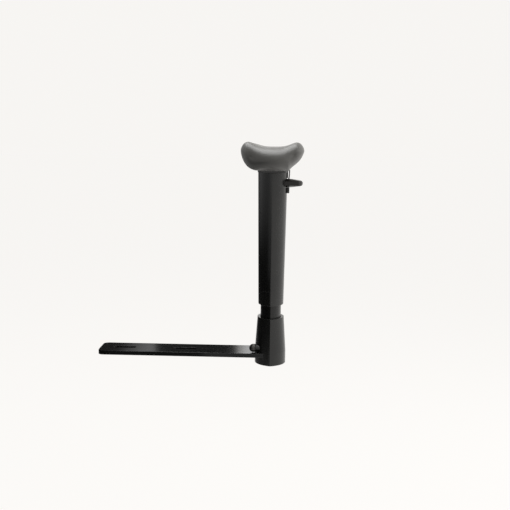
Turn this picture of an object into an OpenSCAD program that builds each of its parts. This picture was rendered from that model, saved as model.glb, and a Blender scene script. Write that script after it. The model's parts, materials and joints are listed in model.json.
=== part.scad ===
// Height-adjustable chair armrest: a soft pad on a sliding sleeve, latched to a bent steel seat bracket.
// Millimetres. X runs outward from the seat, Y towards the back of the chair and Z up.
// The origin is the middle of the two seat bolt slots, on the bracket's top face.

/* [Seat bracket] */
// Width of the steel bar, front to back
bar_w = 50; // [44:1:52]
// Thickness of the steel bar
bar_t = 6; // [5:0.5:7]
// Distance from the middle of the slots to the upright's axis
upright_x = 170; // [150:1:210]
// Distance from the middle of the slots to the bar's free end
bar_tail = 80; // [75:1:110]
// Distance between the middles of the two slots
slot_spacing = 90; // [70:1:110]
// Width of a seat bolt slot
slot_w = 9; // [7:0.5:11]
// Length of a seat bolt slot, end to end
slot_l = 34; // [24:1:40]

/* [Upright] */
// Width of the inner column, side to side
column_w = 29.6; // [28:0.1:36]
// Radius of the column's two bowed faces
column_r = 27.5; // [26:0.1:32]
// Width of the steel upright inside the column, front to back
blade_w = 34; // [26:1:38]
// Height of the sleeve's lower end
sleeve_z = 70; // [62:1:84]
// Height of the sleeve's top rim
head_z = 262; // [250:1:316]
// Radius of the bowed faces of the sleeve and the boot
shell_r = 31.5; // [31:0.1:38]
// How much wider the sleeve is at its top than at its lower end
sleeve_flare = 5.7; // [4.5:0.1:7]
// Wall of the sleeve's head and of the boot
wall = 2.6; // [2:0.1:3]

/* [Boot] */
// Height of the boot's top edge
boot_top = 51; // [42:1:56]
// How far the boot reaches below the bracket's top face
boot_drop = 17; // [15:0.5:22]
// How much wider the boot is at its foot than at its top edge
boot_flare = 6.7; // [5:0.1:9]
// Diameter of the boot bolt's shank
boot_bolt_d = 6; // [5:0.5:6]

/* [Height latch] */
// Distance between two latch positions
notch_pitch = 10; // [9:0.5:12]
// Latch positions above the one drawn
notches_up = 5; // [3:1:5]
// Latch positions below the one drawn
notches_down = 1; // [1:1:1]
// Diameter of the lever's pivot pin
pin_d = 4; // [3:0.5:4.5]
// Distance from the pivot pin down to the latch tooth
latch_arm = 73; // [66:1:78]
// Angle through which the paddle lifts
lever_lift = 4.5; // [4:0.5:5]
// How far the paddle stands out from the sleeve
paddle_l = 21; // [16:1:25]
// Width of the paddle, front to back
paddle_w = 30; // [24:1:36]

/* [Pad] */
// Width of the pad
pad_w = 84; // [80:1:104]
// Length of the pad
pad_l = 250; // [215:1:300]
// How far the pad's nose reaches in front of the upright's axis
pad_nose = 120; // [100:1:140]
// Height of the pad's scooped middle above the sleeve
pad_dip = 34; // [30:0.5:41]
// Rise of the pad's side lobes above the scooped middle
pad_lobe = 7; // [5:0.5:9]
// Thickness of the steel plate under the pad
plate_t = 3; // [2.5:0.5:4]
// Thickness of the stiffening board inside the pad
core_t = 10; // [9:0.5:12]

/* [Hidden] */
$fn = 96;

black_plastic = "#2a2b29";
black_paint = "#1c1c1b";
bright_steel = "#b8b8b4";
pad_grey = "#55544f";

// Cutters overrun the faces they cut by this much
cut = 1;
// Gap around pieces that are fitted together and stay still
fit_gap = 0.15;
// Gap between a glide and the face it slides on
glide_gap = 0.3;
// Running clearance of the lever on its pin, on the radius
pin_clearance = 0.05;
// Clearance of the pin in the ears that grip it, on the radius
pin_grip = 0.02;
// Clearance of a screw's shank in its hole, on the radius
screw_clearance = 0.1;
// Clearance of a shank in its nut or threaded insert, on the radius
thread_gap = 0.05;

// Sections of the upright, each a fixed step outside the column
slide_gap = 0.8;
glide_seat = 2;
sleeve_w_low = column_w + 2 * (slide_gap + wall);
sleeve_w_high = sleeve_w_low + sleeve_flare;
boot_step = 8.5;
boot_w_high = column_w + boot_step;
boot_w_low = boot_w_high + boot_flare;

// Bracket
bend_in = 4;
bend_out = bend_in + bar_t;
shoulder_z = 14;
tail_corner_r = 8;

// Latch: the tooth seats in the blade's holes and the arm hangs from the pin beside the column
pivot_z = head_z - 17;
pivot_x = sleeve_w_high / 2 - 11.5;
tooth_z = pivot_z - latch_arm;
tooth_h = 5.4;
tooth_w = 11;
tooth_depth = 3.1;
notch_h = tooth_h + 1.4;
notch_w = tooth_w + 2;
blade_top = tooth_z + notches_up * notch_pitch + 10;
arm_w = 12;
arm_t = 3.4;
arm_x = bar_t / 2 + 4.5;
arm_z = tooth_z - 4.4;
arm_swing = (pivot_z - arm_z) * sin(lever_lift);
groove_w = 16;
groove_z = arm_z - notches_down * notch_pitch - 4;

// Column and its glide
column_top = blade_top - 8;
neck_step = 1.5;
upper_glide_l = 12;
upper_glide_lip = 2;
neck_z = column_top - upper_glide_l;
lower_glide_l = 20;
lower_glide_inset = 1;
column_screw_z = [26, 38];
column_screw_d = 4;
column_screw_head_t = 3;
column_screw_seat = 9;
small_socket = 2.5;
stop_z = tooth_z - 22;
stop_head_r = 3.5;
stop_head_t = 2.6;
stop_head_x = column_w / 2 + 1.5;
stop_shank_l = 8;
// Room around the travel stop and the latch arm where they run inside the sleeve
stop_room = 0.6;
arm_room = 1.2;
arm_drop = 6;
swing_room = 0.6;

// Sleeve head
head_t = 8;
head_seat_z = head_z - head_t;
head_room_z = head_z - 25;
head_block_y = 18;
head_screw_y = 22;
head_screw_d = 4;
head_screw_l = 24;
head_socket_depth = 1.4;
ear_in_y = 11.3;
ear_out_y = 16;
ear_t = ear_out_y - ear_in_y;
ear_z = pivot_z - 5;
hub_r = pin_d / 2 + 2.6;
hub_w = 2 * ear_in_y - 1;
ear_l = pin_d + hub_r;

// Paddle window and paddle
neck_w = arm_w + 4;
neck_h = 8.4;
paddle_z = pivot_z + 0.1;
paddle_root_x = sleeve_w_high / 2 + 1;
paddle_seat_x = pivot_x + hub_r + 1.1;
paddle_root_t = 12;
paddle_tip_r = 3.4;
paddle_edge_t = 6;
paddle_crown = (paddle_root_t - paddle_edge_t) / 2;
paddle_crown_r = (paddle_w * paddle_w / 4 + paddle_crown * paddle_crown) / (2 * paddle_crown);
paddle_rise = (paddle_root_x - pivot_x) * sin(lever_lift);
window_gap = 0.4;
window_w = paddle_w + 1.2;
window_low_z = paddle_z - paddle_root_t / 2 - window_gap;
window_high_z = paddle_z + paddle_root_t / 2 + paddle_rise + window_gap;
bezel_w = 13;
bezel_h = 7.9;
bezel_t = 3.4;
bezel_seat = 0.05;
leaf_t = 1.5;
leaf_w = 8;
leaf_bow = 0.8;
leaf_inset = 0.2;
leaf_h = 12.4;
leaf_foot_t = 1.3;
// Ribs on the sleeve, one on each side of the leaf
rib_t = 1.2;
rib_y = leaf_w / 2 + 0.6;
rib_w = bezel_w / 2 - rib_y;

// Boot
boot_lip = 6;
boot_bolt_y = 16;
boot_bolt_z = 6.4;
boot_boss_r = 4.2;
boot_boss_x = boot_w_low / 2 - 1.5;
boot_boss_gap = 0.7;
boot_washer_t = 1.2;
boot_washer_r = 5.9;
dome_r = 5.9;
dome_rim = 2.2;
boot_bolt_end = 2;
weld_nut_t = 5;
weld_nut_across = 10;
bar_slot_gap = 0.4;
cap_t = 2.5;
cap_screw_x = -bend_out - 4;
cap_screw_d = 4;
cap_screw_head_r = 3.5;
cap_screw_head_t = 2.5;
cap_screw_inset = 0.5;
cap_pillar_r = 5;

// Pad stack, from the plate on the sleeve up to the cushion
pad_mid_y = pad_l / 2 - pad_nose;
plate_w = 40;
plate_l = 150;
plate_corner_r = 10;
core_z = head_z + plate_t;
core_w = 42;
core_end = 32.5;
core_l = pad_l - 2 * core_end;
core_corner_r = 12;
pad_screw_x = 12;
pad_screw_end = 15;
pad_screw_y = plate_l / 2 - pad_screw_end;
pad_screw_d = 6;
pad_screw_socket = 4;
pad_screw_short = 1;
insert_r = 4.2;
insert_l = 8;
dip_z = head_z + pad_dip;
lobe_z = dip_z + pad_lobe;
belly_r = 24;
lobe_r = 11;
lobe_crest = 16;
scoop_half = pad_w / 2 - lobe_crest;
scoop_r = (scoop_half * scoop_half + pad_lobe * pad_lobe) / (2 * pad_lobe);
pad_corner_r = 34;
nose_low_r = 24;
nose_high_r = 13;
soft_gap = 0.3;

// Width of the sleeve's outside at height z
function sleeve_w(z) = sleeve_w_low + sleeve_flare * (z - sleeve_z) / (head_z - sleeve_z);

// Width of the boot's outside at height z above the bracket's top face
function boot_w(z) = boot_w_low - boot_flare * z / boot_top;

module at_upright() {
    translate([upright_x, 0, 0]) children();
}

// One bowed face's cylinder, leaning so that the width changes with height
module bowed_side(r, w_low, z_low, rise, lean) {
    translate([w_low / 2 - r, 0, z_low])
        rotate([0, lean, 0])
            translate([0, 0, -2 * cut])
                cylinder(r = r, h = rise + 4 * cut);
}

// Pointed oval between two heights: two round cylinders cross, with their ridges to the front and back
module pointed_oval(r, w_low, w_high, z_low, z_high) {
    rise = z_high - z_low;
    lean = atan((w_high - w_low) / 2 / rise);
    intersection() {
        bowed_side(r, w_low, z_low, rise, lean);
        mirror([1, 0, 0]) bowed_side(r, w_low, z_low, rise, lean);
        translate([-r, -r, z_low]) cube([2 * r, 2 * r, rise]);
    }
}

// Straight pointed oval a set distance outside the column's faces, or inside when negative
module column_oval(outside, z_low, z_high) {
    w = column_w + 2 * outside;
    pointed_oval(column_r + outside, w, w, z_low, z_high);
}

// Space inside the sleeve's outside faces, a set depth in
module sleeve_inside(depth, z_low, z_high) {
    pointed_oval(shell_r - depth, sleeve_w(z_low) - 2 * depth, sleeve_w(z_high) - 2 * depth, z_low, z_high);
}

// The boot's outside faces moved in by a set depth: straight below the bar's top face, tapering above it
module boot_oval(depth, z_low, z_high) {
    foot_w = boot_w_low - 2 * depth;
    intersection() {
        pointed_oval(shell_r - depth, foot_w, foot_w, z_low, z_high);
        pointed_oval(shell_r - depth, boot_w(z_low) - 2 * depth, boot_w(z_high) - 2 * depth, z_low, z_high);
    }
}

// Box centred on X and Y that stands on a height
module post(w, l, z_low, z_high) {
    translate([-w / 2, -l / 2, z_low]) cube([w, l, z_high - z_low]);
}

// Cylinder along X between two places
module rod_x(r, x_low, x_high) {
    translate([x_low, 0, 0]) rotate([0, 90, 0]) cylinder(r = r, h = x_high - x_low);
}

// Cylinder along Y, centred
module rod_y(r, l) {
    rotate([90, 0, 0]) cylinder(r = r, h = l, center = true);
}

// Flat rectangle with round corners, centred
module round_rectangle(w, l, r) {
    square([w - 2 * r, l], center = true);
    square([w, l - 2 * r], center = true);
    for (x = [-1, 1], y = [-1, 1])
        translate([x * (w / 2 - r), y * (l / 2 - r)]) circle(r);
}

// Places of the four pad screws
module at_pad_screws() {
    for (x = [-1, 1], y = [-1, 1])
        translate([x * pad_screw_x, pad_mid_y + y * pad_screw_y, 0]) children();
}

// Place of the boot bolt, towards the front
module at_boot_bolt() {
    translate([0, -boot_bolt_y, boot_bolt_z]) children();
}

// Places of the two screws that hold the head and the plate on the sleeve
module at_head_screws() {
    for (y = [-1, 1])
        translate([0, y * head_screw_y, 0]) children();
}

// Hole upward through a plate for a screw of diameter d, with a countersink at its mouth
module sunk_hole(d, plate) {
    r = d / 2 + screw_clearance;
    translate([0, 0, -cut]) cylinder(r = r, h = plate + 2 * cut);
    cylinder(r1 = r + d / 2, r2 = r, h = d / 2);
}

// Six-sided drive socket sunk into a head, along Z from its mouth
module hex_socket(across, depth) {
    translate([0, 0, -depth]) cylinder(d = across / cos(30), h = depth + cut, $fn = 6);
}

// Slot with full round ends along X
module slot_outline(l, w) {
    square([l - w, w], center = true);
    for (x = [-1, 1])
        translate([x * (l - w) / 2, 0]) circle(d = w);
}

module bar_outline() {
    bar_end = upright_x - bar_t / 2 - bend_in;
    difference() {
        union() {
            translate([tail_corner_r - bar_tail, -bar_w / 2])
                square([bar_tail + bar_end - tail_corner_r, bar_w]);
            translate([-bar_tail, tail_corner_r - bar_w / 2])
                square([2 * tail_corner_r, bar_w - 2 * tail_corner_r]);
            for (y = [-1, 1])
                translate([tail_corner_r - bar_tail, y * (bar_w / 2 - tail_corner_r)]) circle(tail_corner_r);
        }
        for (x = [-1, 1])
            translate([x * slot_spacing / 2, 0]) slot_outline(slot_l, slot_w);
    }
}

// Bent quarter of the bar, between its flat leg and its upright
module bar_bend() {
    translate([-bar_t / 2 - bend_in, 0, bend_in])
        intersection() {
            difference() {
                rod_y(bend_out, bar_w);
                rod_y(bend_in, bar_w + 2 * cut);
            }
            translate([0, -bar_w / 2 - cut, -bend_out]) cube([bend_out, bar_w + 2 * cut, bend_out]);
        }
}

module seat_bracket() {
    color(black_paint) difference() {
        union() {
            translate([0, 0, -bar_t]) linear_extrude(bar_t) bar_outline();
            at_upright() bar_bend();
            at_upright() post(bar_t, bar_w, bend_in, shoulder_z);
            at_upright() post(bar_t, blade_w, bend_in, blade_top);
        }
        at_upright() {
            for (n = [-notches_down : notches_up])
                translate([0, 0, tooth_z + n * notch_pitch - notch_h / 2])
                    post(bar_t + 2 * cut, notch_w, 0, notch_h);
            at_boot_bolt() rod_x(boot_bolt_d / 2 + screw_clearance, -bar_t, bar_t);
            for (z = column_screw_z)
                translate([0, 0, z]) rod_x(column_screw_d / 2 + screw_clearance, -bar_t, bar_t);
            translate([cap_screw_x, 0, -bar_t - cut])
                cylinder(r = cap_screw_d / 2 + screw_clearance, h = bar_t + 2 * cut);
        }
    }
}

module bracket_weld_nut() {
    color(bright_steel) at_upright() at_boot_bolt()
        translate([bar_t / 2, 0, 0]) rotate([0, 90, 0]) difference() {
            cylinder(d = weld_nut_across / cos(30), h = weld_nut_t, $fn = 6);
            translate([0, 0, -cut]) cylinder(r = boot_bolt_d / 2 + thread_gap, h = weld_nut_t + 2 * cut);
        }
}

module inner_column() {
    color(black_plastic) at_upright() difference() {
        union() {
            column_oval(0, shoulder_z, neck_z);
            column_oval(-neck_step, neck_z, column_top);
        }
        post(bar_t + 2 * fit_gap, blade_w + 2 * fit_gap, shoulder_z - cut, column_top + cut);
        translate([0, -groove_w / 2, groove_z])
            cube([column_w, groove_w, column_top - groove_z + cut]);
        for (z = column_screw_z)
            translate([0, 0, z]) {
                rod_x(column_screw_d / 2 + screw_clearance, -column_w, 0);
                rod_x(column_screw_d + fit_gap, -column_w, -column_screw_seat);
            }
        translate([0, 0, stop_z]) {
            rod_x(column_screw_d / 2 + screw_clearance, -column_w, 0);
            rod_x(stop_head_r + fit_gap, -column_w, stop_head_t - stop_head_x);
        }
    }
}

// Cap screw lying along X with its head outward on the column's seat side
module column_screw(head_r, head_t, shank_l) {
    rotate([0, -90, 0]) difference() {
        union() {
            cylinder(r = head_r, h = head_t);
            translate([0, 0, -shank_l]) cylinder(d = column_screw_d, h = shank_l);
        }
        translate([0, 0, head_t]) hex_socket(small_socket, head_t / 2);
    }
}

module column_screws() {
    color(bright_steel) at_upright()
        for (z = column_screw_z)
            translate([-column_screw_seat, 0, z])
                column_screw(column_screw_d, column_screw_head_t, column_screw_seat + bar_t / 2);
}

module travel_stop_screw() {
    color(bright_steel) at_upright()
        translate([stop_head_t - stop_head_x, 0, stop_z])
            column_screw(stop_head_r, stop_head_t, stop_shank_l);
}

module upper_glide() {
    color("#d8d6cc") at_upright() difference() {
        column_oval(slide_gap - glide_gap, neck_z, column_top + upper_glide_lip);
        column_oval(fit_gap / 2 - neck_step, neck_z - cut, column_top);
        post(bar_t + 2 * slide_gap, blade_w + 2 * slide_gap, column_top - cut,
            column_top + upper_glide_lip + cut);
        translate([0, -groove_w / 2, neck_z - cut])
            cube([column_w, groove_w, upper_glide_l + upper_glide_lip + 2 * cut]);
    }
}

module boot_shell() {
    difference() {
        boot_oval(0, -boot_drop, boot_top);
        boot_oval(wall, -boot_drop - cut, boot_top - boot_lip);
        column_oval(glide_gap, 0, boot_top + cut);
    }
}

// Plain boss inside the boot that rests on the upright behind the bolt
module boot_rest() {
    intersection() {
        boot_oval(wall / 2, -boot_drop, boot_top);
        mirror([0, 1, 0]) at_boot_bolt() rod_x(boot_boss_r, -boot_w_low / 2, -bar_t / 2 - boot_boss_gap);
    }
}

module boot() {
    color(black_plastic) at_upright() difference() {
        union() {
            boot_shell();
            at_boot_bolt() rod_x(boot_boss_r, -boot_boss_x, -bar_t / 2 - boot_boss_gap);
            boot_rest();
        }
        at_boot_bolt() rod_x(boot_bolt_d / 2 + screw_clearance, -boot_boss_x - cut, 0);
        translate([-boot_w_low, -bar_w / 2 - bar_slot_gap, -boot_drop - cut])
            cube([boot_w_low, bar_w + 2 * bar_slot_gap, boot_drop + cut + bar_slot_gap]);
    }
}

// Floor of the boot, with a tongue that closes the bar's slot below the bar
module boot_cap() {
    tongue_top = -bar_t - bar_slot_gap;
    foot_w = boot_w_low - 2 * wall;
    color(black_plastic) at_upright() difference() {
        union() {
            pointed_oval(shell_r - wall - fit_gap, foot_w - 2 * fit_gap, foot_w - 2 * fit_gap,
                -boot_drop, cap_t - boot_drop);
            intersection() {
                difference() {
                    pointed_oval(shell_r, boot_w_low, boot_w_low, -boot_drop, tongue_top);
                    pointed_oval(shell_r - wall, foot_w, foot_w, cap_t - boot_drop, tongue_top + cut);
                }
                translate([-boot_w_low, -bar_w / 2, -boot_drop])
                    cube([boot_w_low, bar_w, boot_drop + tongue_top]);
            }
            translate([cap_screw_x, 0, -boot_drop])
                cylinder(r = cap_pillar_r, h = boot_drop - bar_t - fit_gap);
        }
        translate([cap_screw_x, 0, -boot_drop - cut]) {
            cylinder(r = cap_screw_d / 2 + screw_clearance, h = boot_drop);
            cylinder(r = cap_screw_head_r + screw_clearance, h = cut + cap_screw_inset + cap_screw_head_t);
        }
    }
}

module boot_cap_screw() {
    color(bright_steel) at_upright() translate([cap_screw_x, 0, cap_screw_inset - boot_drop]) difference() {
        union() {
            cylinder(r = cap_screw_head_r, h = cap_screw_head_t);
            cylinder(d = cap_screw_d, h = boot_drop - 2 * cap_screw_inset);
        }
        mirror([0, 0, 1]) hex_socket(small_socket, cap_screw_head_t / 2);
    }
}

// Domed bolt that clamps the boot to the upright
module boot_bolt() {
    seat_x = boot_boss_x + boot_washer_t;
    color(bright_steel) at_upright() at_boot_bolt() {
        rod_x(boot_bolt_d / 2, -seat_x, bar_t / 2 + weld_nut_t + boot_bolt_end);
        rod_x(dome_r, -seat_x - dome_rim, -seat_x);
        intersection() {
            translate([-seat_x - dome_rim, 0, 0]) sphere(dome_r);
            rod_x(dome_r + cut, -seat_x - dome_rim - dome_r - cut, -seat_x - dome_rim);
        }
    }
}

module boot_washer() {
    color(black_paint) at_upright() at_boot_bolt() difference() {
        rod_x(boot_washer_r, -boot_boss_x - boot_washer_t, -boot_boss_x);
        rod_x(boot_bolt_d / 2 + screw_clearance, -boot_boss_x - boot_washer_t - cut, cut - boot_boss_x);
    }
}

// Lens section along X, thickest in its middle, with its top raised and its bottom lowered as given
module paddle_lens(x_low, x_high, up, down) {
    half = paddle_root_t / 2;
    intersection() {
        translate([0, 0, half + up - paddle_crown_r]) rod_x(paddle_crown_r, x_low, x_high);
        translate([0, 0, paddle_crown_r - half - down]) rod_x(paddle_crown_r, x_low, x_high);
    }
}

// Ribs that stand on the sleeve's face above the window and guard the leaf
module leaf_ribs() {
    intersection() {
        difference() {
            sleeve_inside(-rib_t, window_high_z, head_z);
            sleeve_inside(wall / 2, window_high_z - cut, head_z + cut);
        }
        for (side = [0, 1])
            mirror([0, side, 0])
                translate([0, rib_y, window_high_z]) cube([sleeve_w_high, rib_w, head_z - window_high_z]);
    }
}

module outer_sleeve() {
    channel_x = arm_x + arm_t + arm_swing + swing_room;
    channel_z = arm_z - arm_drop;
    stop_low_z = stop_z - notches_up * notch_pitch - stop_head_r - stop_room;
    stop_high_z = stop_z + notches_down * notch_pitch + stop_head_r + stop_room;
    color(black_plastic) at_upright() difference() {
        union() {
            pointed_oval(shell_r, sleeve_w_low, sleeve_w_high, sleeve_z, head_z);
            leaf_ribs();
        }
        column_oval(slide_gap, sleeve_z - cut, head_room_z + cut);
        column_oval(glide_seat, sleeve_z - cut, sleeve_z + lower_glide_inset + lower_glide_l);
        difference() {
            sleeve_inside(wall, head_room_z, head_z + cut);
            for (y = [-1, 1])
                translate([0, y * (head_block_y + shell_r / 2), 0])
                    post(2 * shell_r, shell_r, head_room_z - cut, head_seat_z);
        }
        // Room for the latch arm to swing out
        translate([0, -arm_w / 2 - arm_room, channel_z])
            cube([channel_x, arm_w + 2 * arm_room, head_room_z - channel_z + cut]);
        // Channel that the travel stop runs in
        translate([-stop_head_x - stop_room, -stop_head_r - stop_room, stop_low_z])
            cube([stop_head_x, 2 * (stop_head_r + stop_room), stop_high_z - stop_low_z]);
        // Window for the paddle's root
        intersection() {
            translate([0, 0, paddle_z]) paddle_lens(0, sleeve_w_high, paddle_rise + window_gap, window_gap);
            post(2 * sleeve_w_high, window_w, head_room_z, head_z);
        }
        at_head_screws()
            translate([0, 0, head_z - head_screw_l])
                cylinder(d = head_screw_d + 2 * screw_clearance, h = head_screw_l + cut);
    }
}

module lower_glide() {
    low_z = sleeve_z + lower_glide_inset;
    color("#d8d6cc") at_upright() difference() {
        column_oval(glide_seat - fit_gap / 2, low_z, low_z + lower_glide_l);
        column_oval(glide_gap, low_z - cut, low_z + lower_glide_l + cut);
    }
}

// Plug in the top of the sleeve, with two ears that carry the lever's pin
module sleeve_head() {
    color(black_plastic) at_upright() difference() {
        intersection() {
            sleeve_inside(wall + fit_gap, ear_z, head_z);
            union() {
                post(2 * shell_r, 2 * shell_r, head_seat_z, head_z);
                for (y = [-1, 1])
                    translate([pivot_x - pin_d, y * (ear_in_y + ear_out_y) / 2, 0])
                        translate([0, -ear_t / 2, ear_z]) cube([ear_l, ear_t, head_seat_z - ear_z + cut]);
            }
        }
        translate([pivot_x, 0, pivot_z]) rod_y(pin_d / 2 + pin_grip, 2 * ear_out_y + 2 * cut);
        at_head_screws() translate([0, 0, head_seat_z - cut])
            cylinder(d = head_screw_d + 4 * screw_clearance, h = head_t + 2 * cut);
    }
}

// Countersunk screws through the plate and the head into the sleeve's end blocks
module head_screws() {
    sink = head_screw_d / 2;
    color(bright_steel) at_upright() at_head_screws() translate([0, 0, head_z + plate_t]) difference() {
        union() {
            translate([0, 0, -head_screw_l]) cylinder(d = head_screw_d, h = head_screw_l - sink);
            translate([0, 0, -sink]) cylinder(r1 = sink, r2 = 2 * sink, h = sink);
        }
        hex_socket(small_socket, head_socket_depth);
    }
}

// Sill below the paddle, moulded to the sleeve's face
module lever_bezel() {
    low_z = window_low_z - bezel_h;
    color(black_plastic) at_upright() intersection() {
        difference() {
            sleeve_inside(-bezel_t, low_z, window_low_z);
            sleeve_inside(-bezel_seat, low_z - cut, window_low_z + cut);
        }
        translate([0, -bezel_w / 2, 0]) cube([sleeve_w_high, bezel_w, head_z]);
    }
}

module pivot_pin() {
    color(bright_steel) at_upright() translate([pivot_x, 0, pivot_z]) rod_y(pin_d / 2, 2 * ear_out_y);
}

// Side view of the paddle from its root: flat where the leaf stands, then tapered to a rounded tip
module paddle_profile() {
    half = paddle_root_t / 2;
    root_l = paddle_root_x - paddle_seat_x;
    flat_l = leaf_inset + leaf_t + leaf_bow;
    taper_l = paddle_l - paddle_tip_r - flat_l;
    taper = acos(paddle_tip_r / norm([taper_l, half])) - atan2(taper_l, half);
    touch_x = flat_l + taper_l + paddle_tip_r * sin(taper);
    touch_z = paddle_tip_r * cos(taper);
    translate([-root_l, -half]) square([root_l + flat_l, 2 * half]);
    polygon([[flat_l, -half], [touch_x, -touch_z], [touch_x, touch_z], [flat_l, half]]);
    translate([flat_l + taper_l, 0]) circle(paddle_tip_r);
}

module paddle() {
    translate([paddle_root_x, 0, paddle_z]) intersection() {
        translate([0, paddle_w / 2, 0]) rotate([90, 0, 0]) linear_extrude(paddle_w) paddle_profile();
        translate([0, 0, -paddle_root_t]) cylinder(r = paddle_l, h = 2 * paddle_root_t);
        paddle_lens(paddle_seat_x - paddle_root_x - cut, paddle_l + cut, 0, 0);
    }
}

module release_lever() {
    color(black_plastic) at_upright() difference() {
        union() {
            translate([pivot_x, 0, pivot_z]) rod_y(hub_r, hub_w);
            translate([pivot_x, -neck_w / 2, pivot_z - neck_h / 2])
                cube([paddle_seat_x - pivot_x + cut, neck_w, neck_h]);
            translate([arm_x, -arm_w / 2, arm_z]) cube([arm_t, arm_w, pivot_z - arm_z]);
            translate([bar_t / 2 - tooth_depth, -tooth_w / 2, tooth_z - tooth_h / 2])
                cube([arm_x - bar_t / 2 + tooth_depth + cut, tooth_w, tooth_h]);
            paddle();
        }
        translate([pivot_x, 0, pivot_z]) rod_y(pin_d / 2 + pin_clearance, hub_w + 2 * cut);
    }
}

// Strip that stands on the crown of the paddle's root on a turned-in foot and reaches up under the pad
module return_leaf() {
    foot_z = paddle_z + paddle_root_t / 2;
    bow_r = (leaf_h * leaf_h + leaf_bow * leaf_bow) / (2 * leaf_bow);
    crown_x = paddle_root_x + leaf_inset + leaf_t + leaf_bow;
    color(black_plastic) at_upright() union() {
        translate([crown_x - bow_r, 0, foot_z + leaf_h]) intersection() {
            difference() {
                rod_y(bow_r, leaf_w);
                rod_y(bow_r - leaf_t, leaf_w + 2 * cut);
            }
            translate([0, -leaf_w / 2, -leaf_h]) cube([bow_r + cut, leaf_w, leaf_h]);
        }
        translate([paddle_root_x, -leaf_w / 2, foot_z]) cube([leaf_inset + leaf_t, leaf_w, leaf_foot_t]);
    }
}

module pad_plate() {
    color(black_paint) at_upright() difference() {
        translate([0, pad_mid_y, head_z])
            linear_extrude(plate_t) round_rectangle(plate_w, plate_l, plate_corner_r);
        at_pad_screws() translate([0, 0, head_z]) sunk_hole(pad_screw_d, plate_t);
        at_head_screws() translate([0, 0, head_z + plate_t])
            mirror([0, 0, 1]) sunk_hole(head_screw_d, plate_t);
    }
}

module pad_screws() {
    sink = pad_screw_d / 2 - screw_clearance;
    color(bright_steel) at_upright() at_pad_screws() translate([0, 0, head_z]) difference() {
        union() {
            cylinder(r1 = pad_screw_d / 2 + sink, r2 = pad_screw_d / 2, h = sink);
            cylinder(d = pad_screw_d, h = plate_t + insert_l - pad_screw_short);
        }
        mirror([0, 0, 1]) hex_socket(pad_screw_socket, pad_screw_socket / 2);
    }
}

module pad_core() {
    color("#a98f66") at_upright() difference() {
        translate([0, pad_mid_y, core_z])
            linear_extrude(core_t) round_rectangle(core_w, core_l, core_corner_r);
        at_pad_screws() translate([0, 0, core_z - cut]) cylinder(r = insert_r + pin_grip, h = insert_l + cut);
    }
}

module pad_inserts() {
    color("#b08d3c") at_upright() at_pad_screws() translate([0, 0, core_z]) difference() {
        cylinder(r = insert_r, h = insert_l);
        translate([0, 0, -cut]) cylinder(r = pad_screw_d / 2 + thread_gap, h = insert_l + 2 * cut);
    }
}

// Cross-section of the cushion, seen from the front: round belly, two side lobes and a scoop between them
module cushion_section() {
    belly_x = pad_w / 2 - belly_r;
    lobe_x = pad_w / 2 - lobe_r;
    belly_z = core_z + belly_r;
    difference() {
        union() {
            for (x = [-1, 1]) {
                translate([x * belly_x, belly_z]) circle(belly_r);
                translate([x * lobe_x, lobe_z - lobe_r]) circle(lobe_r);
            }
            translate([-belly_x, core_z]) square([2 * belly_x, belly_r]);
            translate([-lobe_x, belly_z - lobe_r]) square([2 * lobe_x, lobe_z - belly_z + lobe_r]);
            translate([-pad_w / 2, belly_z]) square([pad_w, lobe_z - lobe_r - belly_z]);
        }
        translate([0, dip_z + scoop_r]) circle(scoop_r, $fn = 180);
    }
}

// Side view of the cushion, with round noses
module cushion_profile() {
    half = pad_l / 2;
    union() {
        for (y = [-1, 1]) {
            translate([y * (half - nose_low_r), core_z + nose_low_r]) circle(nose_low_r);
            translate([y * (half - nose_high_r), lobe_z - nose_high_r]) circle(nose_high_r);
        }
        translate([nose_low_r - half, core_z]) square([pad_l - 2 * nose_low_r, nose_low_r]);
        translate([-half, core_z + nose_low_r])
            square([pad_l, lobe_z - nose_high_r - core_z - nose_low_r]);
        translate([nose_high_r - half, lobe_z - nose_high_r - cut])
            square([pad_l - 2 * nose_high_r, nose_high_r + cut]);
        translate([nose_low_r - half, core_z + nose_low_r - cut])
            square([pad_l - 2 * nose_low_r, lobe_z - core_z - nose_low_r - nose_high_r + 2 * cut]);
    }
}

module pad_cushion() {
    color(pad_grey) at_upright() translate([0, pad_mid_y, 0]) difference() {
        intersection() {
            translate([0, pad_l / 2, 0]) rotate([90, 0, 0]) linear_extrude(pad_l) cushion_section();
            translate([-pad_w / 2, 0, 0]) rotate([90, 0, 90]) linear_extrude(pad_w) cushion_profile();
            translate([0, 0, core_z]) linear_extrude(lobe_z - core_z)
                round_rectangle(pad_w, pad_l, pad_corner_r);
        }
        translate([0, 0, core_z - cut]) linear_extrude(core_t + soft_gap + cut)
            round_rectangle(core_w + 2 * soft_gap, core_l + 2 * soft_gap, core_corner_r);
    }
}

seat_bracket();
bracket_weld_nut();
inner_column();
column_screws();
upper_glide();
travel_stop_screw();
boot();
boot_cap();
boot_cap_screw();
boot_bolt();
boot_washer();
outer_sleeve();
lower_glide();
sleeve_head();
head_screws();
lever_bezel();
pivot_pin();
release_lever();
return_leaf();
pad_plate();
pad_screws();
pad_core();
pad_inserts();
pad_cushion();
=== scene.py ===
import json
import math
import bpy
from mathutils import Matrix, Vector


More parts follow.
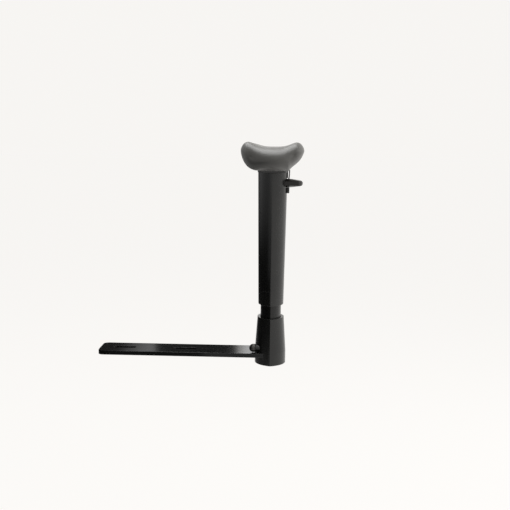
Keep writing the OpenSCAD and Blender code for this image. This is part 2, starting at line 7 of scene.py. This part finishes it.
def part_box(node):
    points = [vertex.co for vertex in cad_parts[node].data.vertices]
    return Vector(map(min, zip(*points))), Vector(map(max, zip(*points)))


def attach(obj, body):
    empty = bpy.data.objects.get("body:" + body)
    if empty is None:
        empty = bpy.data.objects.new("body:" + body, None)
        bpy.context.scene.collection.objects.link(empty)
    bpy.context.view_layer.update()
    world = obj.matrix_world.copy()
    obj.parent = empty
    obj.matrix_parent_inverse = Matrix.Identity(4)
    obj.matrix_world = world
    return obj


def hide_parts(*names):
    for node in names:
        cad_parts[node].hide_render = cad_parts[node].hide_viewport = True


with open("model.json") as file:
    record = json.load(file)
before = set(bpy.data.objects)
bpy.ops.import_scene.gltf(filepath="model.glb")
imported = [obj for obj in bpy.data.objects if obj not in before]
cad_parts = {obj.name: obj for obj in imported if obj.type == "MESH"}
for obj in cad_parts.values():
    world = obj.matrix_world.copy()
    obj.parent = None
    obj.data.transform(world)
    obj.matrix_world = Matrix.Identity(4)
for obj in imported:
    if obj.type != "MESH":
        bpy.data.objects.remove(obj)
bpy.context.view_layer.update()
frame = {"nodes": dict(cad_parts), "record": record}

MM = 0.001

# Camera, fitted to the picture's frame
PICTURE_WIDTH = 510
SENSOR_WIDTH = 36.0
FOCAL_PIXELS = 845.8
CAMERA_PLACE = Vector((184.1, -1214.5, 303.7)) * MM
CAMERA_PITCH_DOWN = math.radians(7.66)
CAMERA_YAW = math.radians(-1.80)
CAMERA_ROLL = math.radians(0.77)

# Pad section in millimetres, from the underside's middle round each side up to the scoop's middle. Each
# point is a distance from the pad's middle and a height above its underside. The outer side is leaner below.
PAD_OUTER_LOW = (
    (8, 0), (15, 0), (19, 0), (21.8, 0.3), (25.4, 4.4),
    (28.8, 7.3), (32.4, 10.3), (35.9, 13.8), (39, 18.4), (41.1, 23.2),
)
PAD_INNER_LOW = (
    (8, 0), (15, 0), (20, 0.2), (24, 0.8), (27, 1.8),
    (30, 3.2), (33, 5.4), (36, 8.9), (38.9, 13.8), (41.2, 20.5),
)
PAD_LOBE = (
    (42, 26.6), (41.5, 29.7), (40.1, 32.7), (37.8, 35.7), (35.2, 37.4), (32.3, 38),
    (29.4, 37.5), (26.5, 36.5), (23.5, 35.2), (19.5, 33.6), (14.5, 32.0), (7.5, 31.1),
)
# Height of the scoop's middle, in millimetres too
PAD_SCOOP = 31
# The lobes sink towards the back to this share of their rise above the scoop
PAD_LOBE_BACK = 0.66
# Each end of the pad closes on a line bent like the scoop, which bows back towards its sides
PAD_SPINE_HALF = 29 * MM
PAD_SPINE_TURN = 4
PAD_SPINE_HEIGHT = 13 * MM
PAD_OUTER_RISE = 9 * MM
PAD_INNER_RISE = 5 * MM
PAD_SPINE_BOW = 12 * MM
PAD_BOW_REACH = 60 * MM
PAD_TOP_REACH = 26 * MM
PAD_LOW_REACH = 30 * MM
PAD_END_POWER = 2.15
PAD_END_START = 0.05 * MM
PAD_RING_STEPS = 4
PAD_END_RINGS = 30
PAD_MIDDLE_RINGS = 24
PAD_SHARP_ANGLE = math.radians(40)
# Hollow for the board inside the pad: the gap around it, and its corners
CORE_GAP = 0.3 * MM
CORE_CORNER = 12 * MM
CORE_CORNER_STEPS = 10

# How far the shading of plastic and paint turns over their edges
EDGE_RADIUS = 0.7 * MM
EDGE_SAMPLES = 8
# The sleeve's upright ridges are rounder. They lie this far from its middle plane, and start above its foot
RIDGE_RADIUS = 4.2 * MM
RIDGE_START = 17 * MM
RIDGE_FULL = 22 * MM
SLEEVE_FOOT = 70 * MM

# Small pieces with a bevel, and its width. It goes on edges that turn by more than the sharp angle
EDGE_WIDTHS = {"lever_bezel": 0.5 * MM, "boot_washer": 0.25 * MM, "boot_bolt": 0.2 * MM}
EDGE_SEGMENTS = 3
SHARP_ANGLE = math.radians(28)
FLAT_ANGLE = math.radians(0.4)
WELD_REACH = 1e-6

# Noise mostly stays within these values
NOISE_LOW = 0.3
NOISE_HIGH = 0.7
# Sockets of a Mix node that mixes colours
MIX_FACTOR, MIX_FIRST, MIX_SECOND, MIX_RESULT = 0, 6, 7, 2

# Finishes: a darker and a lighter colour of each
BLACK_PLASTIC = ((0.006, 0.006, 0.0055), (0.009, 0.009, 0.0082))
# Lever: a warm black, darker partly as its own plastic and partly as painted shade under the pad
LEVER_PLASTIC_SHADED = ((0.006, 0.005, 0.0043), (0.0085, 0.0071, 0.0062))
# Column: darker partly as its own plastic and partly as painted shade from the sleeve above it
COLUMN_PLASTIC_SHADED = ((0.005, 0.005, 0.0046), (0.0075, 0.0075, 0.007))
BLACK_PAINT = ((0.003, 0.003, 0.003), (0.005, 0.005, 0.0048))
ZINC = ((0.5, 0.5, 0.47), (0.68, 0.68, 0.66))
DARK_PLATE = ((0.06, 0.058, 0.055), (0.09, 0.088, 0.083))
BRASS = ((0.56, 0.38, 0.14), (0.72, 0.52, 0.22))
ACETAL = ((0.62, 0.6, 0.54), (0.74, 0.73, 0.68))
WOOD = ((0.36, 0.24, 0.13), (0.56, 0.41, 0.25))
WOOD_GLUE_LINE = (0.25, 0.16, 0.085, 1)
FOAM = ((0.068, 0.066, 0.061), (0.082, 0.080, 0.074))
DUST = (0.05, 0.05, 0.048, 1)
# Specular levels: plastic; the column's and the lever's plastic, lower partly as a duller plastic and partly
# as painted shade; and paint
PLAIN_SHINE = 0.5
DULL_SHADED_SHINE = 0.36
PAINT_SHINE = 0.55

# Surroundings: pale to camera, glossy and transmission rays, dimmer to diffuse rays
BACKDROP_COLOUR = (0.93, 0.914, 0.892, 1)
SOFT_COLOUR = (0.97, 0.98, 1.0, 1)
SOFT_LEVEL = 0.32
FLOOR_HEIGHT = -0.45
FLOOR_HALF = 40.0
FLOOR_GLOW = 0.985
FLOOR_COLOUR = (0.38, 0.377, 0.37, 1)
FLOOR_SHADOW_COLOUR = (0.04, 0.0397, 0.039, 1)

# Lamps, in metres and watts: place, the point they aim at, width and length, power
KEY_LAMP = ((1.8, 0.3, 0.7), (0.17, 0, 0.15), (1.6, 1.6), 58)
TOP_LAMP = ((-0.05, 0.25, 1.9), (0.17, 0.05, 0.25), (1.4, 2.6), 52)

# Upright cards, in millimetres: the two ends of each in plan, then heights with the brightness at each. The
# lowest and the highest of those heights are the card's own edges.
LEFT_FLAG = ((-50, -400), (-50, 500), ((0, 0.04), (500, 0.04)))
# These cards glow though they are no lamps, and only reflections see them: painted reflections on the gloss
# parts, dark at some heights and lighter at others, and bar_card a painted highlight brighter than the
# backdrop.
PAINTED_REFLECTION_CARDS = {
    "edge_card": ((95, -85), (94.7, -62), ((50, 0.02), (85, 0.02), (110, 0.32), (235, 0.45), (340, 0.8))),
    "side_card": ((94.7, -62), (93.2, 35), ((50, 0.02), (130, 0.02), (235, 0.405), (340, 0.72))),
    "far_card": ((93.2, 35), (85, 600), ((50, 0.02), (130, 0.02), (235, 0.158), (340, 0.28))),
    "boot_card": ((-90, -700), (-90, 600), ((-35, 0.02), (50, 0.02), (130, 0.45), (200, 0.6))),
    "low_card": ((-90, -700), (-90, 600), ((-140, 0.2), (-62, 0.23), (-45, 0.06), (-35, 0.02))),
    "front_card": ((60, -150), (170, -150), ((-80, 0.42), (-25, 0.42), (-12, 0.1))),
    "seat_card": ((-300, -150), (60, -150), ((-80, 0.1), (-12, 0.06))),
    "back_card": ((-600, 600), (90.5, 600), ((-50, 0.02), (340, 0.02))),
    "rim_card": ((90.5, 600), (125, 600), ((-50, 0.02), (90, 0.02))),
    "bar_card": ((104, 600), (150, 600), ((100, 1.5), (220, 1.5))),
}


def join(tree, value, socket):
    """Links another node's output to a socket, or sets a plain value on it."""
    if isinstance(value, bpy.types.NodeSocket):
        tree.links.new(value, socket)
    else:
        socket.default_value = value


def add(tree, kind, values=None, **settings):
    """A new shader node with its settings made and its inputs set or linked."""
    made = tree.nodes.new(kind)
    for name, value in settings.items():
        setattr(made, name, value)
    for name, value in (values or {}).items():
        join(tree, value, made.inputs[name])
    return made


def empty_material(name):
    material = bpy.data.materials.new(name)
    material.use_nodes = True
    material.node_tree.nodes.clear()
    return material, material.node_tree


def start_material(name):
    """A node material with its shader joined to the output."""
    material, tree = empty_material(name)
    shader = add(tree, "ShaderNodeBsdfPrincipled")
    add(tree, "ShaderNodeOutputMaterial", {"Surface": shader.outputs["BSDF"]})
    return material, tree, shader


def own_place(tree):
    """The shaded point in the piece's own coordinates."""
    return add(tree, "ShaderNodeTexCoord").outputs["Object"]


def noise(tree, scale, detail, stretch=(1, 1, 1)):
    """Noise over the piece's own coordinates, with features about 1 / scale metres across."""
    moved = add(tree, "ShaderNodeMapping", {"Vector": own_place(tree), "Scale": stretch}).outputs["Vector"]
    made = add(tree, "ShaderNodeTexNoise", {"Vector": moved, "Scale": scale, "Detail": detail})
    return made.outputs["Fac"]


def blend_colour(tree, fac, colours, start=0.35, end=0.65):
    """A colour that goes from the first to the second as fac goes from start to end."""
    ramp = add(tree, "ShaderNodeValToRGB", {"Fac": fac})
    for stop, position, colour in zip(ramp.color_ramp.elements, (start, end), colours):
        stop.position = position
        stop.color = (*colour, 1)
    return ramp.outputs["Color"]


def map_range(tree, value, start, end, low=0.0, high=1.0):
    """A number that goes from low to high as value goes from start to end."""
    return add(tree, "ShaderNodeMapRange", {
        "Value": value, "From Min": start, "From Max": end, "To Min": low, "To Max": high,
    }).outputs["Result"]


def spread(tree, fac, low, high):
    """A number that goes from low to high over the usual range of noise."""
    return map_range(tree, fac, NOISE_LOW, NOISE_HIGH, low, high)


def mix_colour(tree, fac, first, second):
    mixed = add(tree, "ShaderNodeMix", data_type="RGBA")
    join(tree, fac, mixed.inputs[MIX_FACTOR])
    join(tree, first, mixed.inputs[MIX_FIRST])
    join(tree, second, mixed.inputs[MIX_SECOND])
    return mixed.outputs[MIX_RESULT]


def bump(tree, height, distance, strength, normal=None):
    values = {"Height": height, "Distance": distance, "Strength": strength}
    if normal is not None:
        values["Normal"] = normal
    return add(tree, "ShaderNodeBump", values).outputs["Normal"]


def rounded(tree, radius):
    """A normal that turns smoothly over an edge, as on a moulded corner."""
    return add(tree, "ShaderNodeBevel", {"Radius": radius}, samples=EDGE_SAMPLES).outputs["Normal"]


def ridge_radius(tree):
    """Edge radius of the sleeve: large on its two upright ridges, small on its other edges."""
    place = add(tree, "ShaderNodeSeparateXYZ", {"Vector": own_place(tree)}).outputs
    aside = add(tree, "ShaderNodeMath", {0: place["Y"]}, operation="ABSOLUTE").outputs["Value"]
    outer = map_range(tree, aside, RIDGE_START, RIDGE_FULL, EDGE_RADIUS, RIDGE_RADIUS)
    limit = map_range(tree, place["Z"], SLEEVE_FOOT, SLEEVE_FOOT + RIDGE_RADIUS, EDGE_RADIUS, RIDGE_RADIUS)
    return add(tree, "ShaderNodeMath", {0: outer, 1: limit}, operation="MINIMUM").outputs["Value"]


def moulded_plastic(name, colours, rough, shine=PLAIN_SHINE, edge_radius=None):
    """Black moulded plastic with fine spark grain, faint draw lines and uneven gloss."""
    material, tree, shader = start_material(name)
    cloud = noise(tree, scale=28, detail=4)
    draw_lines = noise(tree, scale=260, detail=2, stretch=(1, 1, 0.02))
    grain = noise(tree, scale=2600, detail=2)
    lift = 0.22
    gloss = add(tree, "ShaderNodeMath", {0: cloud, 1: draw_lines, 2: lift}, operation="MULTIPLY_ADD")
    edges = rounded(tree, edge_radius(tree) if edge_radius else EDGE_RADIUS)
    lined = bump(tree, draw_lines, distance=0.02 * MM, strength=0.4, normal=edges)
    join(tree, blend_colour(tree, cloud, colours), shader.inputs["Base Color"])
    join(tree, spread(tree, gloss.outputs["Value"], *rough), shader.inputs["Roughness"])
    join(tree, shine, shader.inputs["Specular IOR Level"])
    join(tree, bump(tree, grain, distance=0.03 * MM, strength=0.5, normal=lined), shader.inputs["Normal"])
    return material


def gloss_paint(name, colours):
    """Gloss black paint on steel, with orange peel, faint rub lines along the bar and dust."""
    material, tree, shader = start_material(name)
    rub = noise(tree, scale=900, detail=2, stretch=(0.02, 1, 1))
    peel = noise(tree, scale=420, detail=2)
    cloud = noise(tree, scale=30, detail=3)
    specks = map_range(tree, noise(tree, scale=5200, detail=1), start=0.72, end=0.8)
    base = blend_colour(tree, cloud, colours)
    peeled = bump(tree, peel, distance=0.02 * MM, strength=0.35, normal=rounded(tree, EDGE_RADIUS))
    join(tree, mix_colour(tree, specks, base, DUST), shader.inputs["Base Color"])
    join(tree, spread(tree, rub, low=0.12, high=0.22), shader.inputs["Roughness"])
    join(tree, PAINT_SHINE, shader.inputs["Specular IOR Level"])
    join(tree, peeled, shader.inputs["Normal"])
    return material


def plated_metal(name, colours, rough):
    """Plated metal with a patchy tint and fine scratches."""
    material, tree, shader = start_material(name)
    cloud = noise(tree, scale=160, detail=4)
    scratch = noise(tree, scale=2400, detail=2, stretch=(1, 0.05, 1))
    join(tree, blend_colour(tree, cloud, colours), shader.inputs["Base Color"])
    join(tree, 1.0, shader.inputs["Metallic"])
    join(tree, spread(tree, scratch, *rough), shader.inputs["Roughness"])
    join(tree, bump(tree, scratch, distance=0.01 * MM, strength=0.3), shader.inputs["Normal"])
    return material


def acetal(name):
    """Milky bearing plastic, a little waxy."""
    material, tree, shader = start_material(name)
    cloud = noise(tree, scale=60, detail=3)
    join(tree, blend_colour(tree, cloud, ACETAL), shader.inputs["Base Color"])
    join(tree, spread(tree, cloud, low=0.3, high=0.42), shader.inputs["Roughness"])
    join(tree, 0.15, shader.inputs["Subsurface Weight"])
    join(tree, (2 * MM, 2 * MM, 1.5 * MM), shader.inputs["Subsurface Radius"])
    return material


def plywood(name):
    """Bare plywood: grain along the board, and plies through its thickness."""
    material, tree, shader = start_material(name)
    fibre = noise(tree, scale=700, detail=4, stretch=(1, 0.03, 1))
    plies = add(tree, "ShaderNodeTexWave", {
        "Vector": own_place(tree), "Scale": 110, "Distortion": 0.6, "Detail Scale": 9,
    }, bands_direction="Z").outputs["Fac"]
    wood = mix_colour(tree, plies, WOOD_GLUE_LINE, blend_colour(tree, fibre, WOOD))
    join(tree, wood, shader.inputs["Base Color"])
    join(tree, spread(tree, fibre, low=0.6, high=0.78), shader.inputs["Roughness"])
    join(tree, bump(tree, fibre, distance=0.06 * MM, strength=0.5), shader.inputs["Normal"])
    return material


def foam_skin(name):
    """Charcoal skin of moulded foam: fine pebble grain, a satin sheen and slightly polished patches."""
    material, tree, shader = start_material(name)
    cloud = noise(tree, scale=22, detail=4)
    fine = noise(tree, scale=3400, detail=2)
    pebble = add(tree, "ShaderNodeTexVoronoi", {"Vector": own_place(tree), "Scale": 1150},
                 feature="SMOOTH_F1").outputs["Distance"]
    pebbled = bump(tree, pebble, distance=0.05 * MM, strength=0.35)
    join(tree, blend_colour(tree, cloud, FOAM), shader.inputs["Base Color"])
    join(tree, spread(tree, cloud, low=0.36, high=0.46), shader.inputs["Roughness"])
    join(tree, 0.05, shader.inputs["Sheen Weight"])
    join(tree, 0.5, shader.inputs["Sheen Roughness"])
    join(tree, bump(tree, fine, distance=0.02 * MM, strength=0.3, normal=pebbled), shader.inputs["Normal"])
    return material


def ease(distance, reach, power):
    """Round end: 0 at the tip and 1 from reach on, along a superellipse."""
    rest = max(0.0, 1.0 - distance / reach)
    return (1.0 - rest ** power) ** (1.0 / power)


def smooth(t):
    """Rises from 0 to 1 as t does, level at both ends."""
    t = min(1.0, max(0.0, t))
    return t * t * (3 - 2 * t)


def between(a, b, c, d, t):
    """Catmull-Rom value at the share t of the way from b to c, where a comes before b and d after c."""
    slope = c - a
    bend = 2 * a - 5 * b + 4 * c - d
    twist = 3 * b - a - 3 * c + d
    return 0.5 * (2 * b + slope * t + bend * t * t + twist * t ** 3)


def spline(points, steps):
    """Points on a smooth closed line through the given ones, with so many steps in each span."""
    count = len(points)
    made = []
    for i in range(count):
        a, b, c, d = (points[(i + k) % count] for k in (-1, 0, 1, 2))
        for step in range(steps):
            made.append(tuple(between(a[k], b[k], c[k], d[k], step / steps) for k in (0, 1)))
    return made


def pad_ring():
    """The whole section as a closed line."""
    outer = list(PAD_OUTER_LOW + PAD_LOBE)
    inner = [(-x, z) for x, z in PAD_INNER_LOW + PAD_LOBE]
    whole = [(0, 0)] + outer + [(0, PAD_SCOOP)] + list(reversed(inner))
    return [(x * MM, z * MM) for x, z in spline(whole, PAD_RING_STEPS)]


def pad_stations(length):
    """Distances along the pad, closer together towards its two ends."""
    bend = PAD_LOW_REACH
    turns = [math.pi / 2 * k / PAD_END_RINGS for k in range(PAD_END_RINGS)]
    end = [PAD_END_START + bend * (1 - math.cos(turn)) for turn in turns]
    middle = [bend + (length - 2 * bend) * k / PAD_MIDDLE_RINGS for k in range(1, PAD_MIDDLE_RINGS)]
    return end + middle + [length - d for d in reversed(end)]


def end_point(x, z, d):
    """A section point drawn in towards the closing line at the distance d from the pad's end, and how far it
    bows back."""
    across = x / PAD_SPINE_HALF
    along = across / (1 + abs(across) ** PAD_SPINE_TURN) ** (1 / PAD_SPINE_TURN)
    spine_x = along * PAD_SPINE_HALF
    rise = PAD_OUTER_RISE if x > 0 else PAD_INNER_RISE
    spine_z = PAD_SPINE_HEIGHT + rise * along * along
    out = Vector((x - spine_x, z - spine_z))
    upward = (1 + out.normalized().y) / 2
    share = ease(d, PAD_LOW_REACH + (PAD_TOP_REACH - PAD_LOW_REACH) * upward, PAD_END_POWER)
    bow = PAD_SPINE_BOW * along * along * (1 - smooth(d / PAD_BOW_REACH))
    return spine_x + out.x * share, spine_z + out.y * share, bow


def end_faces(points_round, start, near):
    """Faces that close one end, between the section's lower and upper halves on each side."""
    half = points_round // 2
    faces = []
    for side in (0, half):
        for k in range(half // 2):
            corners = [side + k, side + k + 1, side + half - k - 1, (side + half - k) % points_round]
            if corners[1] == corners[2]:
                corners.pop(2)
            faces.append(tuple(start + c for c in (reversed(corners) if near else corners)))
    return faces


def pad_points(ring, stations, low, high):
    """Points of the pad's skin between two corners of its box, ring by ring from front to back."""
    middle_x = (low.x + high.x) / 2
    length = high.y - low.y
    scoop = PAD_SCOOP * MM
    points = []
    for station in stations:
        lobe = 1 - (1 - PAD_LOBE_BACK) * smooth(station / length)
        for x, z in ring:
            if z > scoop:
                z = scoop + (z - scoop) * lobe
            drawn_x, drawn_z, bow = end_point(x, z, min(station, length - station))
            y = station + bow if station < length / 2 else station - bow
            points.append((middle_x + drawn_x, low.y + y, low.z + drawn_z))
    return points


def pad_mesh():
    """Loft of the section along the pad, drawn in to a rounded end at its front and back."""
    low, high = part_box("pad_cushion")
    ring = pad_ring()
    count = len(ring)
    stations = pad_stations(high.y - low.y)
    points = pad_points(ring, stations, low, high)
    faces = end_faces(count, 0, True)
    for row in range(len(stations) - 1):
        start = row * count
        for k in range(count):
            n = (k + 1) % count
            faces.append((start + k, start + count + k, start + count + n, start + n))
    faces += end_faces(count, (len(stations) - 1) * count, False)
    mesh = bpy.data.meshes.new("pad_skin")
    mesh.from_pydata(points, [], faces)
    return mesh


def core_cutter():
    """Block a little larger than the stiffening board, which reaches down out of the pad."""
    low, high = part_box("pad_core")
    half_x = (high.x - low.x) / 2 + CORE_GAP
    half_y = (high.y - low.y) / 2 + CORE_GAP
    middle = (low + high) / 2
    corner = CORE_CORNER
    outline = []
    for quarter, (sx, sy) in enumerate(((1, 1), (-1, 1), (-1, -1), (1, -1))):
        for step in range(CORE_CORNER_STEPS + 1):
            turn = math.pi / 2 * (quarter + step / CORE_CORNER_STEPS)
            outline.append((middle.x + sx * (half_x - corner) + corner * math.cos(turn),
                            middle.y + sy * (half_y - corner) + corner * math.sin(turn)))
    count = len(outline)
    floor = low.z - (high.z - low.z)
    points = [(x, y, floor) for x, y in outline] + [(x, y, high.z + CORE_GAP) for x, y in outline]
    faces = [tuple(reversed(range(count))), tuple(range(count, 2 * count))]
    faces += [(k, (k + 1) % count, count + (k + 1) % count, count + k) for k in range(count)]
    mesh = bpy.data.meshes.new("core_cutter")
    mesh.from_pydata(points, [], faces)
    cutter = bpy.data.objects.new("core_cutter", mesh)
    bpy.context.scene.collection.objects.link(cutter)
    return cutter


def hollowed(pad):
    """The pad's mesh with room for the board cut out of it."""
    cutter = core_cutter()
    hollow = pad.modifiers.new("hollow", "BOOLEAN")
    hollow.operation = "DIFFERENCE"
    hollow.object = cutter
    hollow.solver = "EXACT"
    bpy.context.view_layer.update()
    shaped = bpy.data.meshes.new_from_object(pad.evaluated_get(bpy.context.evaluated_depsgraph_get()))
    pad.modifiers.clear()
    bpy.data.objects.remove(cutter)
    return shaped


def build_pad():
    """The soft pad, hollowed underneath for the board that stiffens it."""
    pad = bpy.data.objects.new("soft_pad", pad_mesh())
    bpy.context.scene.collection.objects.link(pad)
    pad.data = hollowed(pad)
    for polygon in pad.data.polygons:
        polygon.use_smooth = True
    pad.data.set_sharp_from_angle(angle=PAD_SHARP_ANGLE)
    pad.data.materials.clear()
    pad.data.materials.append(foam_skin("grey_foam_skin"))
    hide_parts("pad_cushion")
    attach(pad, "carriage")


def soften_edges(node, width):
    """Rounds a node's sharp edges where it shows, without touching its mesh."""
    piece = frame["nodes"][node]
    weld = piece.modifiers.new("weld", "WELD")
    weld.merge_threshold = WELD_REACH
    flat = piece.modifiers.new("flat", "DECIMATE")
    flat.decimate_type = "DISSOLVE"
    flat.angle_limit = FLAT_ANGLE
    edge = piece.modifiers.new("edge", "BEVEL")
    edge.width = width
    edge.segments = EDGE_SEGMENTS
    edge.limit_method = "ANGLE"
    edge.angle_limit = SHARP_ANGLE
    edge.harden_normals = False
    level = piece.modifiers.new("level", "WEIGHTED_NORMAL")
    level.keep_sharp = False


def finish_nodes():
    """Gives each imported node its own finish, or else that of its material slot."""
    # The lever's finish is darker and duller partly as painted shade under the pad
    lever = moulded_plastic("lever_plastic_shaded", LEVER_PLASTIC_SHADED, rough=(0.3, 0.4), shine=DULL_SHADED_SHINE)
    by_slot = {
        "black_plastic": moulded_plastic("black_plastic_moulded", BLACK_PLASTIC, rough=(0.22, 0.32)),
        "lever_plastic": lever,
        "black_paint": gloss_paint("black_paint_gloss", BLACK_PAINT),
        "bright_steel": plated_metal("zinc_plate", ZINC, rough=(0.22, 0.38)),
        "dark_plated_steel": plated_metal("dark_plate", DARK_PLATE, rough=(0.24, 0.34)),
        "natural_acetal": acetal("acetal_milky"),
        "plywood": plywood("plywood_bare"),
        "brass": plated_metal("brass_turned", BRASS, rough=(0.2, 0.34)),
    }
    by_node = {
        "lever_bezel": lever,
        # The column's finish is darker and duller partly as painted shade from the sleeve above it
        "inner_column": moulded_plastic("column_plastic_shaded", COLUMN_PLASTIC_SHADED, rough=(0.24, 0.34),
                                        shine=DULL_SHADED_SHINE),
        "outer_sleeve": moulded_plastic("sleeve_plastic_moulded", BLACK_PLASTIC, rough=(0.22, 0.32),
                                        edge_radius=ridge_radius),
    }
    for part in frame["record"]["subparts"]:
        finish = by_node.get(part["node"], by_slot.get(part["material_slot"]))
        if finish is not None:
            frame["nodes"][part["node"]].material_slots[0].material = finish


def place_camera():
    data = bpy.data.cameras.new("camera")
    data.sensor_width = SENSOR_WIDTH
    data.lens = FOCAL_PIXELS * SENSOR_WIDTH / PICTURE_WIDTH
    camera = bpy.data.objects.new("camera", data)
    bpy.context.scene.collection.objects.link(camera)
    cos_pitch = math.cos(CAMERA_PITCH_DOWN)
    ahead = Vector((math.sin(CAMERA_YAW) * cos_pitch, math.cos(CAMERA_YAW) * cos_pitch,
                    -math.sin(CAMERA_PITCH_DOWN)))
    right = Vector((math.cos(CAMERA_YAW), -math.sin(CAMERA_YAW), 0))
    up = right.cross(ahead)
    rolled_right = math.cos(CAMERA_ROLL) * right + math.sin(CAMERA_ROLL) * up
    rolled_up = math.cos(CAMERA_ROLL) * up - math.sin(CAMERA_ROLL) * right
    turn = Matrix((rolled_right, rolled_up, -ahead)).transposed()
    camera.matrix_world = Matrix.Translation(CAMERA_PLACE) @ turn.to_4x4()
    bpy.context.scene.camera = camera


def sees_background(tree):
    """1 for rays that show the background: camera, glossy and transmission rays."""
    path = add(tree, "ShaderNodeLightPath").outputs
    first = add(tree, "ShaderNodeMath", {0: path["Is Camera Ray"], 1: path["Is Glossy Ray"]},
                operation="MAXIMUM").outputs["Value"]
    return add(tree, "ShaderNodeMath", {0: first, 1: path["Is Transmission Ray"]},
               operation="MAXIMUM").outputs["Value"]


def light_world():
    world = bpy.data.worlds.new("studio")
    bpy.context.scene.world = world
    world.use_nodes = True
    tree = world.node_tree
    tree.nodes.clear()
    soft = add(tree, "ShaderNodeBackground", {"Color": SOFT_COLOUR, "Strength": SOFT_LEVEL}).outputs[0]
    backdrop = add(tree, "ShaderNodeBackground", {"Color": BACKDROP_COLOUR, "Strength": 1.0}).outputs[0]
    mixed = add(tree, "ShaderNodeMixShader", {0: sees_background(tree), 1: soft, 2: backdrop}).outputs[0]
    add(tree, "ShaderNodeOutputWorld", {"Surface": mixed})


def area_light(name, place, target, size, power):
    data = bpy.data.lights.new(name, "AREA")
    data.shape = "RECTANGLE"
    data.size, data.size_y = size
    data.energy = power
    lamp = bpy.data.objects.new(name, data)
    bpy.context.scene.collection.objects.link(lamp)
    lamp.location = place
    aim = Vector(target) - Vector(place)
    lamp.rotation_euler = aim.to_track_quat("-Z", "Y").to_euler()
    return lamp


def flat_card(name, corners):
    """A four-cornered sheet of the stage, which is no part of the model."""
    mesh = bpy.data.meshes.new(name)
    mesh.from_pydata(corners, [], [(0, 1, 2, 3)])
    card = bpy.data.objects.new(name, mesh)
    bpy.context.scene.collection.objects.link(card)
    return card


def lay_floor():
    """Pale floor that merges with the backdrop and still takes a faint shadow."""
    half, z = FLOOR_HALF, FLOOR_HEIGHT
    floor = flat_card("floor", [(-half, -half, z), (half, -half, z), (half, half, z), (-half, half, z)])
    material, tree = empty_material("pale_floor")
    matt = add(tree, "ShaderNodeBsdfDiffuse", {"Color": FLOOR_COLOUR}).outputs[0]
    glow = add(tree, "ShaderNodeEmission", {"Color": BACKDROP_COLOUR, "Strength": FLOOR_GLOW}).outputs[0]
    shadow = add(tree, "ShaderNodeBsdfDiffuse", {"Color": FLOOR_SHADOW_COLOUR}).outputs[0]
    shown = add(tree, "ShaderNodeAddShader", {0: shadow, 1: glow}).outputs[0]
    mixed = add(tree, "ShaderNodeMixShader", {0: sees_background(tree), 1: matt, 2: shown}).outputs[0]
    add(tree, "ShaderNodeOutputMaterial", {"Surface": mixed})
    floor.data.materials.append(material)


def card_glow(name, levels):
    """Emission that follows height: levels gives heights and the brightness at each."""
    material, tree = empty_material(name)
    low, high = levels[0][0], levels[-1][0]
    height = add(tree, "ShaderNodeSeparateXYZ", {"Vector": own_place(tree)}).outputs["Z"]
    ramp = add(tree, "ShaderNodeValToRGB", {"Fac": map_range(tree, height, low * MM, high * MM)})
    stops = ramp.color_ramp.elements
    for _ in levels[2:]:
        stops.new(0.5)
    for stop, (z, level) in zip(stops, levels):
        stop.position = (z - low) / (high - low)
        stop.color = (level, level, level, 1)
    glow = add(tree, "ShaderNodeEmission", {"Color": ramp.outputs["Color"]}).outputs[0]
    add(tree, "ShaderNodeOutputMaterial", {"Surface": glow})
    return material


def painted_light_card(name, start, end, levels):
    """Upright glowing card beside the part that only reflections see: it paints dark and light reflections
    onto the gloss parts, so that gloss black reads as black.
    """
    low, high = levels[0][0], levels[-1][0]
    corners = [(*start, low), (*end, low), (*end, high), (*start, high)]
    card = flat_card(name, [Vector(corner) * MM for corner in corners])
    card.data.materials.append(card_glow(name, levels))
    card.visible_camera = False
    card.visible_diffuse = False
    card.visible_shadow = False
    return card


def light_scene():
    light_world()
    key = area_light("key_right", *KEY_LAMP)
    key.visible_glossy = False
    area_light("top_soft", *TOP_LAMP)
    # This card dims the soft light from the left instead, and reflections don't see it
    flag = painted_light_card("left_flag", *LEFT_FLAG)
    flag.visible_glossy = False
    flag.visible_diffuse = True
    # Cards that paint reflections, dark and light, onto the gloss parts
    for name, shape in PAINTED_REFLECTION_CARDS.items():
        painted_light_card(name, *shape)
    lay_floor()


place_camera()
finish_nodes()
build_pad()
for node_name, edge_width in EDGE_WIDTHS.items():
    soften_edges(node_name, edge_width)
light_scene()
bpy.context.scene.view_settings.view_transform = "Standard"
